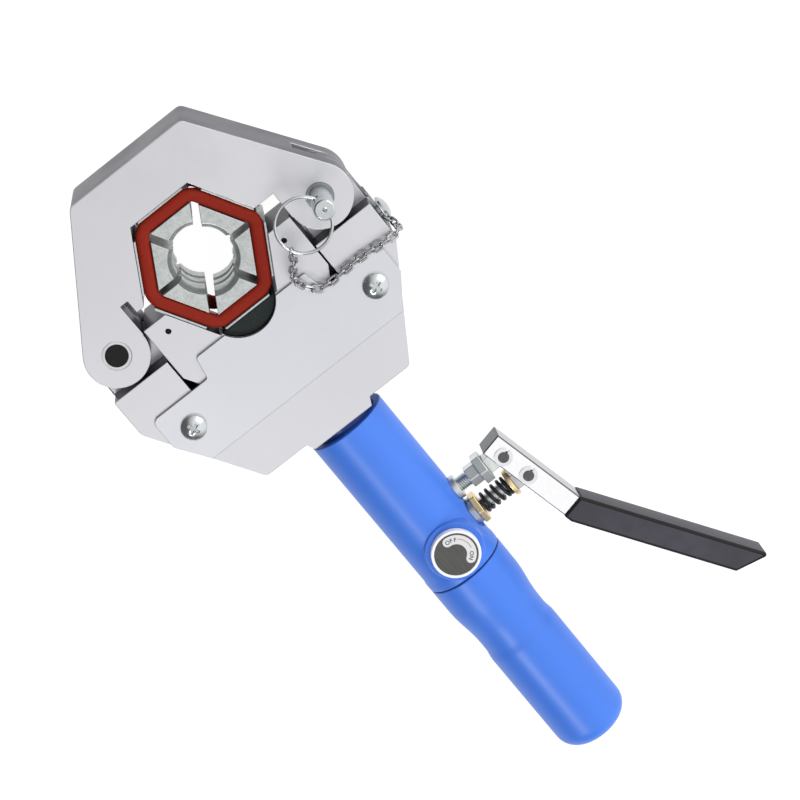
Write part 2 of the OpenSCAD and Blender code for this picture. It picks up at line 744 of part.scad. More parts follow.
module handle_tube() {
    top = joint_drop + joint_gap;
    waist_y = -top - collar_len - taper_len;
    waist = [for (i = [0:8]) [collar_r + (waist_r - collar_r) * (1 - cos(i * 22.5)) / 2,
                              waist_y + taper_len * (1 - i / 8)]];
    swell = [for (i = [0:4]) [waist_r + (grip_r - waist_r) * (1 - cos(i * 45)) / 2,
                              waist_y - waist_len - swell_len * i / 4]];
    tip = [for (i = [0:8]) [grip_r - end_round + end_round * cos(i * 11.25),
                            end_round - handle_end - end_round * sin(i * 11.25)]];
    color(blue) rotate([90, 0, 0]) mirror([0, 0, 1]) difference() {
        rotate_extrude()
            polygon(concat([[0, -top], [collar_r, -top]], waist, swell, tip, [[0, -handle_end]]));
        translate([0, 0, -top - 14]) cylinder(h = 14 + cut, r = spigot_r);
        translate([0, 0, 8 - handle_end]) cylinder(h = handle_end - top - 20, r = spigot_r - 0.4);
    }
}

module oil_bladder() {
    top = joint_drop + 13;
    r = spigot_r - 1.2;
    w = bladder_wall;
    color(dark) rotate([90, 0, 0]) mirror([0, 0, 1])
        rotate_extrude()
            polygon([[6, -top], [6 + w, -top], [6 + w, -top - 7], [r, -top - 14], [r, 24 - handle_end],
                     [r - 8, 12 - handle_end], [0, 12 - handle_end], [0, 12 + w - handle_end],
                     [r - 8 - w / 2, 12 + w - handle_end], [r - w, 24 + w / 2 - handle_end],
                     [r - w, -top - 14 - w / 2], [6, -top - 8]]);
}

module inlet_ball() {
    color(steel) translate([0, -plunger_drop - 14, 0]) sphere(3.2);
}

module outlet_ball() {
    color(steel) translate([0, -fulcrum_drop - 8, 0]) sphere(3.2);
}

module outlet_spring() {
    color(steel) translate([0, -fulcrum_drop + 7, 0]) rotate([90, 0, 0]) coil(2.6, 0.4, 12.8, 4);
}

module fulcrum_stud() {
    tongue_x = nut_face + nut_h;
    color(steel) translate([0, -fulcrum_drop, 0]) difference() {
        union() {
            along_x(stud_hole + 1, 0, 0) cylinder(h = tongue_x - stud_hole, r = stud_r);
            along_x(stud_face, 0, 0) cylinder(h = flange_face - stud_face, r = hex_r + 0.5);
            along_x(hex_face, 0, 0) cylinder(h = nut_face - hex_face, r = hex_r, $fn = 6);
            linear_extrude(eye_t, center = true) {
                translate([tongue_x, -eye_t / 2]) square([fulcrum_x - tongue_x, eye_t]);
                translate([fulcrum_x, 0]) circle(eye_t / 2);
            }
        }
        translate([fulcrum_x, 0, 0]) cylinder(h = eye_t + cut, r = lever_pin_r + pin_fit, center = true);
    }
}

module fulcrum_nut() {
    color(steel) along_x(nut_face, -fulcrum_drop, 0) difference() {
        cylinder(h = nut_h, r = nut_r, $fn = 6);
        translate([0, 0, -1]) cylinder(h = nut_h + cut, r = stud_r);
    }
}

module gland_nut() {
    color(brass) along_x(0, -plunger_drop, 0) difference() {
        union() {
            translate([0, 0, 14]) cylinder(h = gland_seat - 14 + 1, r = 7);
            translate([0, 0, gland_seat]) cylinder(h = 4, r = 8.5);
            translate([0, 0, gland_seat + 4]) cylinder(h = gland_face - gland_seat - 4, r = 10.2, $fn = 6);
        }
        cylinder(h = gland_face + cut, r = plunger_r + plunger_fit);
        translate([0, 0, 15.5]) cylinder(h = 3, r = 5.5);
    }
}

module plunger_seal() {
    color(dark) along_x(15.5, -plunger_drop, 0) difference() {
        cylinder(h = 3, r = 5.5);
        translate([0, 0, -1]) cylinder(h = 3 + cut, r = plunger_r + 0.02);
    }
}

module plunger() {
    color(steel) difference() {
        union() {
            along_x(plunger_back, -plunger_drop, 0)
                cylinder(h = washer_face + washer_t - plunger_back + 1, r = plunger_r);
            translate([0, -plunger_drop, 0]) linear_extrude(eye_t, center = true) {
                translate([washer_face + washer_t, -plunger_eye_r])
                    square([plunger_pin_x - washer_face - washer_t, 2 * plunger_eye_r]);
                translate([plunger_pin_x, 0]) circle(plunger_eye_r);
            }
        }
        translate([plunger_pin_x, -plunger_drop - eye_slot, 0]) linear_extrude(eye_t + cut, center = true) {
            translate([0, eye_slot]) circle(lever_pin_r + pin_fit);
            translate([0, -eye_slot]) circle(lever_pin_r + pin_fit);
            square([2 * (lever_pin_r + pin_fit), 2 * eye_slot], center = true);
        }
    }
}

module plunger_washer() {
    color(brass) along_x(washer_face, -plunger_drop, 0) difference() {
        cylinder(h = washer_t, r = washer_r);
        translate([0, 0, -1]) cylinder(h = washer_t + cut, r = plunger_r);
    }
}

module plunger_spring() {
    color(dark) along_x(gland_face, -plunger_drop, 0)
        coil(spring_r, spring_wire_r, spring_len, spring_turns);
}

// Point of the lever where the upper line at a meets the lower line at b
function bend(a, b) =
    let (det = up_n[0] * down_n[1] - up_n[1] * down_n[0])
    [a * down_n[1] - b * up_n[1], b * up_n[0] - a * down_n[0]] / det;

function upper(u, n) = up_u * u + up_n * n;

function lower(u, n) = down_u * u + down_n * n;

channel_low = -grip_back - grip_wall;
channel_in = -grip_back - grip_depth + grip_wall;
channel_front = channel_back - channel_depth;

module channel_outline() {
    polygon([upper(-channel_end, channel_back), bend(channel_back, channel_low),
             lower(grip_outer - 9, channel_low), lower(grip_inner - 4, channel_in),
             bend(channel_front, channel_in), upper(-channel_end, channel_front)]);
}

module channel_hollow() {
    back = channel_back - lever_t;
    low = channel_low - lever_t;
    polygon([upper(lever_t - channel_end, back), bend(back, low), lower(grip_outer, low),
             lower(grip_outer, channel_in - 9), bend(channel_front - 9, channel_in - 9),
             upper(lever_t - channel_end, channel_front - 9)]);
}

module lever() {
    color(steel) translate([fulcrum_x, -fulcrum_drop, 0]) difference() {
        linear_extrude(lever_w, center = true) channel_outline();
        linear_extrude(lever_w - 2 * lever_t, center = true) channel_hollow();
        cylinder(h = lever_w + cut, r = lever_pin_r, center = true);
        translate([pin_step_x, -pin_step_y, 0]) cylinder(h = lever_w + cut, r = lever_pin_r, center = true);
    }
}

module lever_grip() {
    grip_in = -grip_back - grip_depth;
    start_n = channel_front - grip_lip;
    back_n = (grip_start * sin(lean_down - lean_up) - grip_back) / cos(lean_down - lean_up);
    color(dark) translate([fulcrum_x, -fulcrum_drop, 0]) difference() {
        linear_extrude(lever_w + 2 * grip_wall, center = true)
            polygon(rounded([upper(grip_start, back_n), lower(grip_outer, -grip_back),
                             lower(grip_inner, grip_in), bend(start_n, grip_in),
                             upper(grip_start, start_n)], [0, tip_round, tip_round, 0, 0]));
        linear_extrude(lever_w, center = true) channel_outline();
    }
}

module lever_pin() {
    cylinder(h = lever_w + 2.6, r = lever_pin_r, center = true);
}

module fulcrum_pin() {
    color(steel) translate([fulcrum_x, -fulcrum_drop, 0]) lever_pin();
}

module plunger_pin() {
    color(steel) translate([plunger_pin_x, -plunger_drop, 0]) lever_pin();
}

module pin_clips() {
    color(steel) for (p = [[fulcrum_x, -fulcrum_drop], [plunger_pin_x, -plunger_drop]])
        translate([p[0], p[1], 0]) both_sides()
            translate([0, 0, lever_w / 2]) difference() {
                cylinder(h = 0.8, r = lever_pin_r + 2.2);
                translate([0, 0, -1]) cylinder(h = 3, r = lever_pin_r);
            }
}

module release_knob() {
    color([0.92, 0.92, 0.92]) translate([knob_x, -knob_drop, knob_face]) difference() {
        cylinder(h = knob_h, r = knob_r);
        translate([0, 0, knob_h - 1]) cylinder(h = cut, r = knob_r - knob_rim);
        translate([0, 0, -1]) cylinder(h = knob_h, r = needle_r);
    }
}

module knob_dial() {
    color([0.3, 0.3, 0.32]) translate([knob_x, -knob_drop, knob_face + knob_h - 1])
        cylinder(h = 0.7, r = knob_r - knob_rim);
}

module release_needle() {
    color(steel) translate([knob_x, -knob_drop, 0]) {
        translate([0, 0, 14.5]) cylinder(h = knob_face + knob_h - 1 - 14.5, r = needle_r);
        translate([0, 0, 12.2]) cylinder(h = 2.3, r1 = 0.9, r2 = needle_r);
    }
}

// Eye ring that holds the chain under a domed screw on the side of the head body
eye_way = unit([-4, 9]);
eye_c = [-anchor_drop, anchor_z] + 2.6 * eye_way;
eye_x = body_hw + anchor_lift + link_wire_r - 0.15;
eye_end = [eye_x, eye_c[0] + eye_r * eye_way[0], eye_c[1] + eye_r * eye_way[1]];

module chain_anchor() {
    color(steel) {
        along_x(body_hw - 9, -anchor_drop, anchor_z) cylinder(h = 12, r = 3);
        along_x(body_hw, -anchor_drop, anchor_z) cylinder(h = anchor_lift, r = 5);
        along_x(eye_x + link_wire_r - 0.15, -anchor_drop, anchor_z) intersection() {
            cylinder(h = 4, r = anchor_r);
            translate([0, 0, 4 - 11]) sphere(11);
        }
        along_x(eye_x, eye_c[0], eye_c[1])
            rotate_extrude() translate([eye_r, 0]) circle(link_wire_r, $fn = 32);
    }
}

// Point of a smooth curve through the way points, at t of the way from point i to the next
function curve_point(i, t) =
    let (a = way_points[max(i - 1, 0)], b = way_points[i], c = way_points[i + 1])
    let (d = way_points[min(i + 2, len(way_points) - 1)])
    (2 * b + (c - a) * t + (2 * a - 5 * b + 4 * c - d) * t * t + (3 * b - a - 3 * c + d) * t * t * t) / 2;

// Way of the chain from the pull ring, over the covers, to the tab
ring_end = [ring_c[0] + ring_r * cos(207), ring_c[1] + ring_r * sin(207), ring_z];
way_points = [ring_end + [0.3, 0.65, 0.6], ring_end + [-3.5, -7, -6], [33.2, -35.2, 36.2],
              [32.6, -42, chain_z + 0.6], [36.9, -49, chain_z], [43.5, -52.2, chain_z],
              [66, -51.8, chain_z], [83.3, -53.4, chain_z], [body_hw + 1.3, -53.7, head_t / 2 + 2.2],
              [body_hw + 4.3, -52.6, 20], eye_end + [-0.1, 0.4, -0.7]];
last = len(way_points) - 2;
route = [for (i = [0:last]) for (k = [0:i < last ? 5 : 6]) curve_point(i, k / 6)];
steps = [for (i = [1:len(route) - 1]) norm(route[i] - route[i - 1])];
ends = [for (i = 0, s = 0; i < len(route); s = s + (i < len(steps) ? steps[i] : 0), i = i + 1) s];
route_len = ends[len(ends) - 1];
links = round(route_len / link_pitch);

function on_route(s) =
    let (i = max([for (k = [0:len(route) - 2]) ends[k] <= s ? k : 0]))
    route[i] + (route[i + 1] - route[i]) * (s - ends[i]) / (ends[i + 1] - ends[i]);

module link() {
    side = link_gap / 2 + link_wire_r;
    straight = link_in / 2 - link_gap / 2;
    for (s = [-1, 1]) {
        translate([s * side, 0, 0]) cylinder(h = 2 * straight, r = link_wire_r, center = true, $fn = 24);
        translate([0, 0, s * straight]) rotate([s * 90, 0, 0])
            rotate_extrude(angle = 180, $fn = 24) translate([side, 0]) circle(link_wire_r, $fn = 24);
    }
}

// Middle, direction and side direction of each link; the side turns with the route and no further
link_step = route_len / links;
mids = [for (i = [0:links - 1]) on_route((i + 0.5) * link_step)];
ways = [for (i = [0:links - 1]) unit(on_route((i + 0.9) * link_step) - on_route((i + 0.1) * link_step))];
sides = [for (i = 0, n = square_to([-sin(207), cos(207), 0], ways[0]); i < links;
              i = i + 1, n = i < links ? square_to(n, ways[i]) : n) n];

function square_to(n, t) = unit(n - (n * t) * t);

module chain() {
    color(steel) for (i = [0:links - 1]) {
        t = ways[i];
        y = i % 2 == 0 ? sides[i] : cross(t, sides[i]);
        x = cross(y, t);
        multmatrix([for (k = [0:2]) [x[k], y[k], t[k], mids[i][k]]]) link();
    }
}

spring_len = washer_face - gland_face;
echo(plunger_travel = pin_step_x * (1 - cos(squeeze)) + pin_step_y * sin(squeeze));
echo(plunger_spring_gap = coil_gap(coil_points(spring_r, spring_wire_r, spring_len, spring_turns)));
echo(ram_spring_gap = coil_gap(coil_points((bore_r + rod_r) / 2, ram_wire_r, ram_spring_len, 4)));
echo(chain_length = route_len, chain_links = links, link_step = link_step);

head_body();
front_cover();
rear_cover();
cover_screws();
hinge_pin();
ram_gland();
top_die();
front_band();
rear_band();
pump_barrel();
joint_seal();
handle_tube();
oil_bladder();
inlet_ball();
outlet_ball();
outlet_spring();
fulcrum_stud();
fulcrum_nut();
gland_nut();
plunger_seal();
chain();
chain_anchor();
yoke();
hinge_bushes();
lock_bushes();
lock_pin();
pull_ring();
ram_piston();
ram_seal();
ram_spring();
die_seat();
thrust_pad();
bottom_die();
upper_right_die();
upper_left_die();
lower_right_die();
lower_left_die();
lever();
lever_grip();
fulcrum_pin();
plunger_pin();
pin_clips();
plunger();
plunger_washer();
plunger_spring();
release_knob();
knob_dial();
release_needle();
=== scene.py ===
import math

import bmesh
import bpy
from mathutils import Matrix, Vector


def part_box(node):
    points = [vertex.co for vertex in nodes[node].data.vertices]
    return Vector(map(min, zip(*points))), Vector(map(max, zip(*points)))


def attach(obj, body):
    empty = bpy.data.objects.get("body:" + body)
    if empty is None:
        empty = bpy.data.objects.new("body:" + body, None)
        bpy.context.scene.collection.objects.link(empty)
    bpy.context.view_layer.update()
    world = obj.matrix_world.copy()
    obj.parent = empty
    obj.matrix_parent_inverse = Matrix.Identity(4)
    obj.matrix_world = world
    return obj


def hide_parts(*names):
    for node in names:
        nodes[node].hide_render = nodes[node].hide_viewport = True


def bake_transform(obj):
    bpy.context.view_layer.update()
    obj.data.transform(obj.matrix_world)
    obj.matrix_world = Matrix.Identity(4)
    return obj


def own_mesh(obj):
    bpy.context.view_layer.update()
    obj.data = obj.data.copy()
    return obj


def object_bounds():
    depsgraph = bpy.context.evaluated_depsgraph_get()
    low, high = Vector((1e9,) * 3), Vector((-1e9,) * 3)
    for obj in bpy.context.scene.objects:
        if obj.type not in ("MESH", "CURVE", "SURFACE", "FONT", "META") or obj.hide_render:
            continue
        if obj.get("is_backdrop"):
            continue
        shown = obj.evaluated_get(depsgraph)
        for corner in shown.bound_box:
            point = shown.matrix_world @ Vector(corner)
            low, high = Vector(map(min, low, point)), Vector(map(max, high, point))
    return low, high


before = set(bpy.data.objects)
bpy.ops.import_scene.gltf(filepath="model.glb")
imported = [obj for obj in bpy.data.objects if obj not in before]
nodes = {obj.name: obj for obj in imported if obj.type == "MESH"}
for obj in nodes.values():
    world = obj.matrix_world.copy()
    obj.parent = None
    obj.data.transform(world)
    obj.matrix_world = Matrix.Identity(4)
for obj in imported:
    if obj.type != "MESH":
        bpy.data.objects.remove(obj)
cad_low, cad_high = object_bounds()
mm = 0.001


# Head body, yoke and die seat. The head is milled from thick aluminium plate and bead-blasted
# to a dull silver; the milled sides get painted shade, and every edge is broken bright by hand.
class Socket:
    """Output of a shader node that takes part in Python sums."""

    def __init__(self, finish, output):
        self.finish = finish
        self.output = output

    def sum(self, operation, first, second):
        return self.finish.node("Math", {"operation": operation}, {0: first, 1: second})

    def __add__(self, other):
        return self.sum("ADD", self, other)

    def __radd__(self, other):
        return self.sum("ADD", other, self)

    def __sub__(self, other):
        return self.sum("SUBTRACT", self, other)

    def __rsub__(self, other):
        return self.sum("SUBTRACT", other, self)

    def __mul__(self, other):
        return self.sum("MULTIPLY", self, other)

    def __rmul__(self, other):
        return self.sum("MULTIPLY", other, self)

    def __abs__(self):
        return self.sum("ABSOLUTE", self, 0.0)


class Finish:
    """Node material of one finish, whose patterns read Object coordinates."""

    def __init__(self, name):
        self.material = bpy.data.materials.new(name)
        self.material.use_nodes = True
        self.tree = self.material.node_tree
        self.shader = self.tree.nodes["Principled BSDF"]
        self.at = self.node("TexCoord", output="Object")

    def node(self, kind, settings=None, sockets=None, output=0):
        made = self.tree.nodes.new("ShaderNode" + kind)
        for name, value in (settings or {}).items():
            setattr(made, name, value)
        for name, value in (sockets or {}).items():
            self.feed(made.inputs[name], value)
        return Socket(self, made.outputs[output])

    def feed(self, socket, value):
        if isinstance(value, Socket):
            self.tree.links.new(value.output, socket)
        else:
            socket.default_value = value

    def set(self, sockets):
        for name, value in sockets.items():
            self.feed(self.shader.inputs[name], value)
        return self.material

    def scaled(self, x, y, z):
        return self.node("Mapping", None, {"Vector": self.at, "Scale": (x, y, z)})

    def component(self, vector, axis):
        return self.node("SeparateXYZ", None, {0: vector}, axis)

    def noise(self, scale, at=None, detail=2.0):
        return self.node("TexNoise", None, {"Vector": at or self.at, "Scale": scale, "Detail": detail})

    def ramp(self, value, low, high):
        return self.node("MapRange", {"interpolation_type": "SMOOTHSTEP"},
                         {"Value": value, "From Min": low, "From Max": high})

    def mix(self, factor, first, second):
        return self.node("Mix", {"data_type": "RGBA"}, {0: factor, 6: first, 7: second}, 2)

    def bump(self, height, depth):
        return self.node("Bump", None, {"Distance": depth, "Height": height})


def shade(color, factor):
    return (color[0] * factor, color[1] * factor, color[2] * factor, 1)


# Painted shade: below neck_top the neck is coloured a dark navy that stands in for the shaded top of the
# barrel.
neck_shade_navy = (0.012, 0.045, 0.25, 1)
neck_top = -123.6 * mm


def plate_metal(name, face, side, rough, navy_shade_below=None):
    """Blasted faces across Z; milled sides with tool lines, painted darker as shade; below a height, if
    asked, painted shade in navy.
    """
    finish = Finish(name)
    normal = finish.node("TexCoord", output="Normal")
    blasted_vs_shaded_sides = finish.ramp(abs(finish.component(normal, "Z")), 0.5, 0.9)
    grain = finish.noise(2200, detail=3.0)
    marks = finish.ramp(finish.noise(28, detail=4.0), 0.35, 0.75)
    lines = finish.noise(260, finish.scaled(0.15, 0.15, 6))
    plate = finish.mix(marks * 0.5 + grain * 0.3, face, shade(face, 0.84))
    # Sides: painted shade, a dark grey streaked with tool lines.
    edge = finish.mix(lines, shade(side, 0.8), shade(side, 1.25))
    color = finish.mix(blasted_vs_shaded_sides, edge, plate)
    bare = 1.0
    # Below the given height: dark navy painted shade instead of bare metal.
    if navy_shade_below is not None:
        height = finish.component(finish.at, "Y")
        bare = finish.ramp(height, navy_shade_below - 0.1 * mm, navy_shade_below)
        color = finish.mix(bare, neck_shade_navy, color)
    return finish.set({"Metallic": bare, "Base Color": color,
                       "Roughness": rough + 0.08 * marks + 0.06 * grain,
                       "Specular Tint": (0.7, 0.7, 0.72, 1),
                       "Normal": finish.bump(grain * blasted_vs_shaded_sides + lines * (1 - blasted_vs_shaded_sides), 0.03 * mm)})


def rubbed_metal(name, color, rough):
    """Bare metal with a fine rub, for edges and plated parts."""
    finish = Finish(name)
    rub = finish.noise(900, detail=3.0)
    stain = finish.ramp(finish.noise(120, detail=3.0), 0.4, 0.8)
    worn = finish.mix(rub * 0.5 + stain * 0.5, color, shade(color, 0.72))
    return finish.set({"Metallic": 1.0, "Base Color": worn,
                       "Roughness": rough + 0.12 * rub + 0.08 * stain})


def dress(names, face, edge=None):
    """Puts a finish on CAD nodes, and a second one on their broken edges."""
    for name in names:
        nodes[name].data.materials.clear()
        nodes[name].data.materials.append(face)
        nodes[name].data.materials.append(edge or face)


def break_edges(names, width, segments=2):
    """Rounds the sharp edges of CAD nodes, whose triangles are joined first."""
    for name in names:
        joined = nodes[name].modifiers.new("joined", "WELD")
        joined.merge_threshold = 0.002 * mm
        edges = nodes[name].modifiers.new("edges", "BEVEL")
        edges.width = width
        edges.segments = segments
        edges.limit_method = "ANGLE"
        edges.angle_limit = math.radians(38)
        edges.material = 1
        edges.use_clamp_overlap = False
        edges.loop_slide = False
        nodes[name].modifiers.new("shading", "WEIGHTED_NORMAL").keep_sharp = True


head_parts = ("head_body", "yoke", "die_seat")
# The near-black side colour is painted shade, and so is the dark navy below neck_top.
head_finish = plate_metal("blasted_aluminium", (0.65, 0.65, 0.68, 1), (0.12, 0.12, 0.13, 1), 0.26, neck_top)
head_edge = rubbed_metal("aluminium_edge", (0.58, 0.58, 0.61, 1), 0.38)
dress(head_parts, head_finish, head_edge)
break_edges(head_parts, 0.4 * mm)


# Hinge pin and the bushes of both pins. The fixed hinge pin is black-oxide steel with flush
# ends; the bushes are turned from steel tube and pressed into the yoke's ears.
def black_steel(name, color, rough):
    """Steel under black oxide, with a faint oily mottle."""
    finish = Finish(name)
    mottle = finish.noise(700, detail=4.0)
    oxide = finish.mix(mottle, shade(color, 0.6), shade(color, 1.6))
    return finish.set({"Metallic": 0.3, "Base Color": oxide, "Specular IOR Level": 0.2,
                       "Roughness": rough + 0.15 * mottle, "Normal": finish.bump(mottle, 0.02 * mm)})


pin_black = black_steel("black_oxide", (0.008, 0.0078, 0.0083, 1), 0.4)
zinc = rubbed_metal("bright_zinc", (0.58, 0.61, 0.62, 1), 0.15)
dress(["hinge_pin"], pin_black)
break_edges(["hinge_pin"], 0.6 * mm)
dress(["hinge_bushes"], head_edge)
# The lock bushes are darkened as painted shade inside the pin's hole.
dress(["lock_bushes"], rubbed_metal("bush_steel_shade", (0.3, 0.32, 0.33, 1), 0.3))

# Cover plates and their screws. Two sheet-steel plates close the ram's side of the head on the
# front and the rear; each is held by two zinc-plated pan-head screws with a cross recess.
# The plates' darker sides are painted shade.
cover_finish = plate_metal("plated_sheet", (0.64, 0.65, 0.69, 1), (0.3, 0.3, 0.32, 1), 0.28)
covers = ("front_cover", "rear_cover")
dress(covers, cover_finish, head_edge)
break_edges(covers, 0.35 * mm)
dress(["cover_screws"], zinc)
break_edges(["cover_screws"], 0.18 * mm)

# Ram. A ground steel piston slides in the head body under a gland ring, pushed back by a
# spring; its rod carries the die seat and a black thrust pad under the lowest die.
ground_steel = rubbed_metal("ground_steel", (0.58, 0.58, 0.6, 1), 0.22)
dress(["ram_piston", "ram_gland"], ground_steel)


def rubber(name, color):
    """Moulded rubber, dull with a powdery bloom."""
    finish = Finish(name)
    bloom = finish.noise(350, detail=4.0)
    skin = finish.noise(2600)
    return finish.set({"Base Color": finish.mix(bloom, shade(color, 0.75), shade(color, 1.2)),
                       "Roughness": 0.52 + 0.2 * bloom, "Specular IOR Level": 0.15,
                       "Normal": finish.bump(skin, 0.03 * mm)})


seal_rubber = rubber("black_rubber", (0.02, 0.02, 0.022, 1))
dress(["ram_seal"], seal_rubber)
pad_cast = black_steel("cast_pad", (0.014, 0.019, 0.02, 1), 0.5)
dress(["thrust_pad"], pad_cast)
break_edges(["thrust_pad"], 0.8 * mm)


def piece(name, shape, finishes, body=None, sharp=32):
    """Makes a finished mesh of a bmesh, smooth but for edges sharper than the angle given."""
    bmesh.ops.remove_doubles(shape, verts=shape.verts, dist=0.001 * mm)
    bmesh.ops.recalc_face_normals(shape, faces=shape.faces)
    mesh = bpy.data.meshes.new(name)
    shape.to_mesh(mesh)
    shape.free()
    mesh.shade_smooth()
    mesh.set_sharp_from_angle(angle=math.radians(sharp))
    for finish in finishes:
        mesh.materials.append(finish)
    made = bpy.data.objects.new(name, mesh)
    bpy.context.scene.collection.objects.link(made)
    if body:
        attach(made, body)
    return made


def close_ends(shape):
    bmesh.ops.holes_fill(shape, edges=[e for e in shape.edges if e.is_boundary])


def coil(start, axis, coil_r, wire_r, length, turns):
    """Compression spring with a closed coil at each end, drawn as one unbroken wire."""
    shape = bmesh.new()
    axis = Vector(axis)
    side = axis.orthogonal().normalized()
    steps = 28
    wire = bmesh.ops.create_circle(shape, segments=12, radius=wire_r)["verts"]
    turn = Matrix((side, axis, side.cross(axis))).transposed()
    bmesh.ops.transform(shape, matrix=turn.to_4x4(), verts=wire)
    bmesh.ops.translate(shape, verts=wire, vec=Vector(start) + side * coil_r + axis * wire_r)
    closed = 2.1 * wire_r
    middle = (length - 2 * wire_r - 2 * closed) / (turns - 2)
    geometry = wire + list(shape.edges)
    for pitch, count in ((closed, 1), (middle, turns - 2), (closed, 1)):
        number = round(count * steps)
        rise = axis * pitch * count / number
        spun = bmesh.ops.spin(shape, geom=geometry, cent=start, axis=axis, dvec=rise,
                              angle=2 * math.pi * count, steps=number)
        geometry = spun["geom_last"]
    close_ends(shape)
    return shape


spring_black = black_steel("spring_wire", (0.02, 0.02, 0.022, 1), 0.25)
ram_low, ram_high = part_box("ram_spring")
ram_coil_r = 16.5 * mm
ram_wire_r = 1 * mm
ram_turns = 5
ram_spring_len = ram_high.y - ram_low.y
ram_coil = coil((0, ram_low.y, 0), (0, 1, 0), ram_coil_r, ram_wire_r, ram_spring_len, ram_turns)
ram_spring = piece("ram_return_spring", ram_coil, [spring_black], "ram")
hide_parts("ram_spring")
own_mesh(ram_spring)


# Dies. Six case-hardened segments with grooved crimping faces, bright from machining; they
# slide on the flats of the yoke and the seat as the ram lifts.
def machined_steel(name, color, rough):
    """Turned and ground steel with fine rings of tool marks and grey patches."""
    finish = Finish(name)
    turned = finish.noise(500, finish.scaled(0.4, 0.4, 8), 3.0)
    patch = finish.ramp(finish.noise(220, detail=5.0), 0.3, 0.8)
    speck = finish.ramp(finish.noise(1100, detail=3.0), 0.3, 0.7)
    worn = finish.mix(patch * 0.5 + speck * 0.5, color, shade(color, 0.62))
    return finish.set({"Metallic": 0.8, "Base Color": worn, "Roughness": rough + 0.08 * patch,
                       "Normal": finish.bump(turned, 0.02 * mm)})


dies = [name for name in nodes if name.endswith("_die")]
die_finish = machined_steel("die_steel", (0.56, 0.59, 0.58, 1), 0.36)
dress(dies, die_finish, head_edge)
break_edges(dies, 0.3 * mm)

# Bands. Two flat red rubber bands, front and rear, lie in the grooves of the dies' ends and
# keep the segments together. Each is made in six stretches; the two side stretches ride on the
# upper dies as they close.
band_flat = 37.2 * mm
band_slant = 35 * mm
band_width = 7.8 * mm
band_red = rubber("red_rubber", (0.24, 0.014, 0.005, 1))
cos_30 = math.cos(math.radians(30))


def hexagon(shape, inset, z, rounding):
    """Edges of the dies' hexagon, moved inwards and rounded at its corners."""
    flat = band_flat - inset
    slant = band_slant - inset
    corner = (slant - flat / 2) / cos_30
    side = slant / cos_30
    outline = [(corner, flat), (-corner, flat), (-side, 0), (-corner, -flat), (corner, -flat), (side, 0)]
    face = shape.faces.new([shape.verts.new((x, y, z)) for x, y in outline])
    bmesh.ops.bevel(shape, geom=list(face.verts), offset=rounding, segments=8, profile=0.5,
                    affect="VERTICES", material=-1)
    face = next(f for f in shape.faces if len(f.verts) > 6)
    edges = list(face.edges)
    bmesh.ops.delete(shape, geom=[face], context="FACES_ONLY")
    return edges


def thicken(shape, faces, height):
    """Gives flat faces a body along Z."""
    grown = bmesh.ops.extrude_face_region(shape, geom=faces, use_keep_orig=True)["geom"]
    tops = [v for v in grown if isinstance(v, bmesh.types.BMVert)]
    bmesh.ops.translate(shape, verts=tops, vec=(0, 0, height))


def band(low, high):
    """Whole band between two heights, with its long edges well rounded."""
    shape = bmesh.new()
    loops = hexagon(shape, 0, low, 6.5 * mm) + hexagon(shape, band_width, low, 2 * mm)
    thicken(shape, bmesh.ops.bridge_loops(shape, edges=loops)["faces"], high - low)
    bmesh.ops.recalc_face_normals(shape, faces=shape.faces)
    edges = [e for e in shape.edges if e.calc_face_angle(0) > 1.2]
    bmesh.ops.bevel(shape, geom=edges, offset=0.46 * (high - low), segments=4, profile=0.5,
                    affect="EDGES", material=-1)
    return shape


def stretch(low, high, side, bottom, top):
    """Part of a band on one side of the tool between two heights, with closed ends."""
    shape = band(low, high)
    straight = [e for e in shape.edges if e.calc_length() > 12 * mm]
    bmesh.ops.subdivide_edges(shape, edges=straight, cuts=9, use_grid_fill=True)
    for at, normal in (((0, 0, 0), (-side, 0, 0)), ((0, bottom, 0), (0, -1, 0)), ((0, top, 0), (0, 1, 0))):
        whole = [*shape.verts, *shape.edges, *shape.faces]
        bmesh.ops.bisect_plane(shape, geom=whole, plane_co=at, plane_no=normal, clear_outer=True)
    close_ends(shape)
    return shape


band_bend = 4 * mm
band_halves = (("upper", band_bend, band_flat + mm, 1, "frame"),
               ("lower", -band_flat - mm, -band_bend, -1, "ram"))
for name in ("front_band", "rear_band"):
    low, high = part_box(name)
    for side, hand in ((1, "right"), (-1, "left")):
        for half, bottom, top, turn, holder in band_halves:
            shape = stretch(low.z, high.z, side, bottom, top)
            part = piece(f"{name}_{half}_{hand}", shape, [band_red])
            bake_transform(part)
            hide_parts(name)
        shape = stretch(low.z, high.z, side, -band_bend, band_bend)
        bend = piece(f"{name}_side_{hand}", shape, [band_red], f"die_upper_{hand}")
        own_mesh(bend)
        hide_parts(name)


# Lock pin, pull ring and tether chain. A loose plated pin locks the yoke; a wire ring through
# its head hangs on a welded chain whose other end is held by a screw on the head's side.
def hoop(shape, section, centre, axis):
    """Turns a wire's section once round an axis."""
    bmesh.ops.spin(shape, geom=section + list(shape.edges), cent=centre, axis=axis,
                   angle=2 * math.pi, steps=96, use_merge=True)


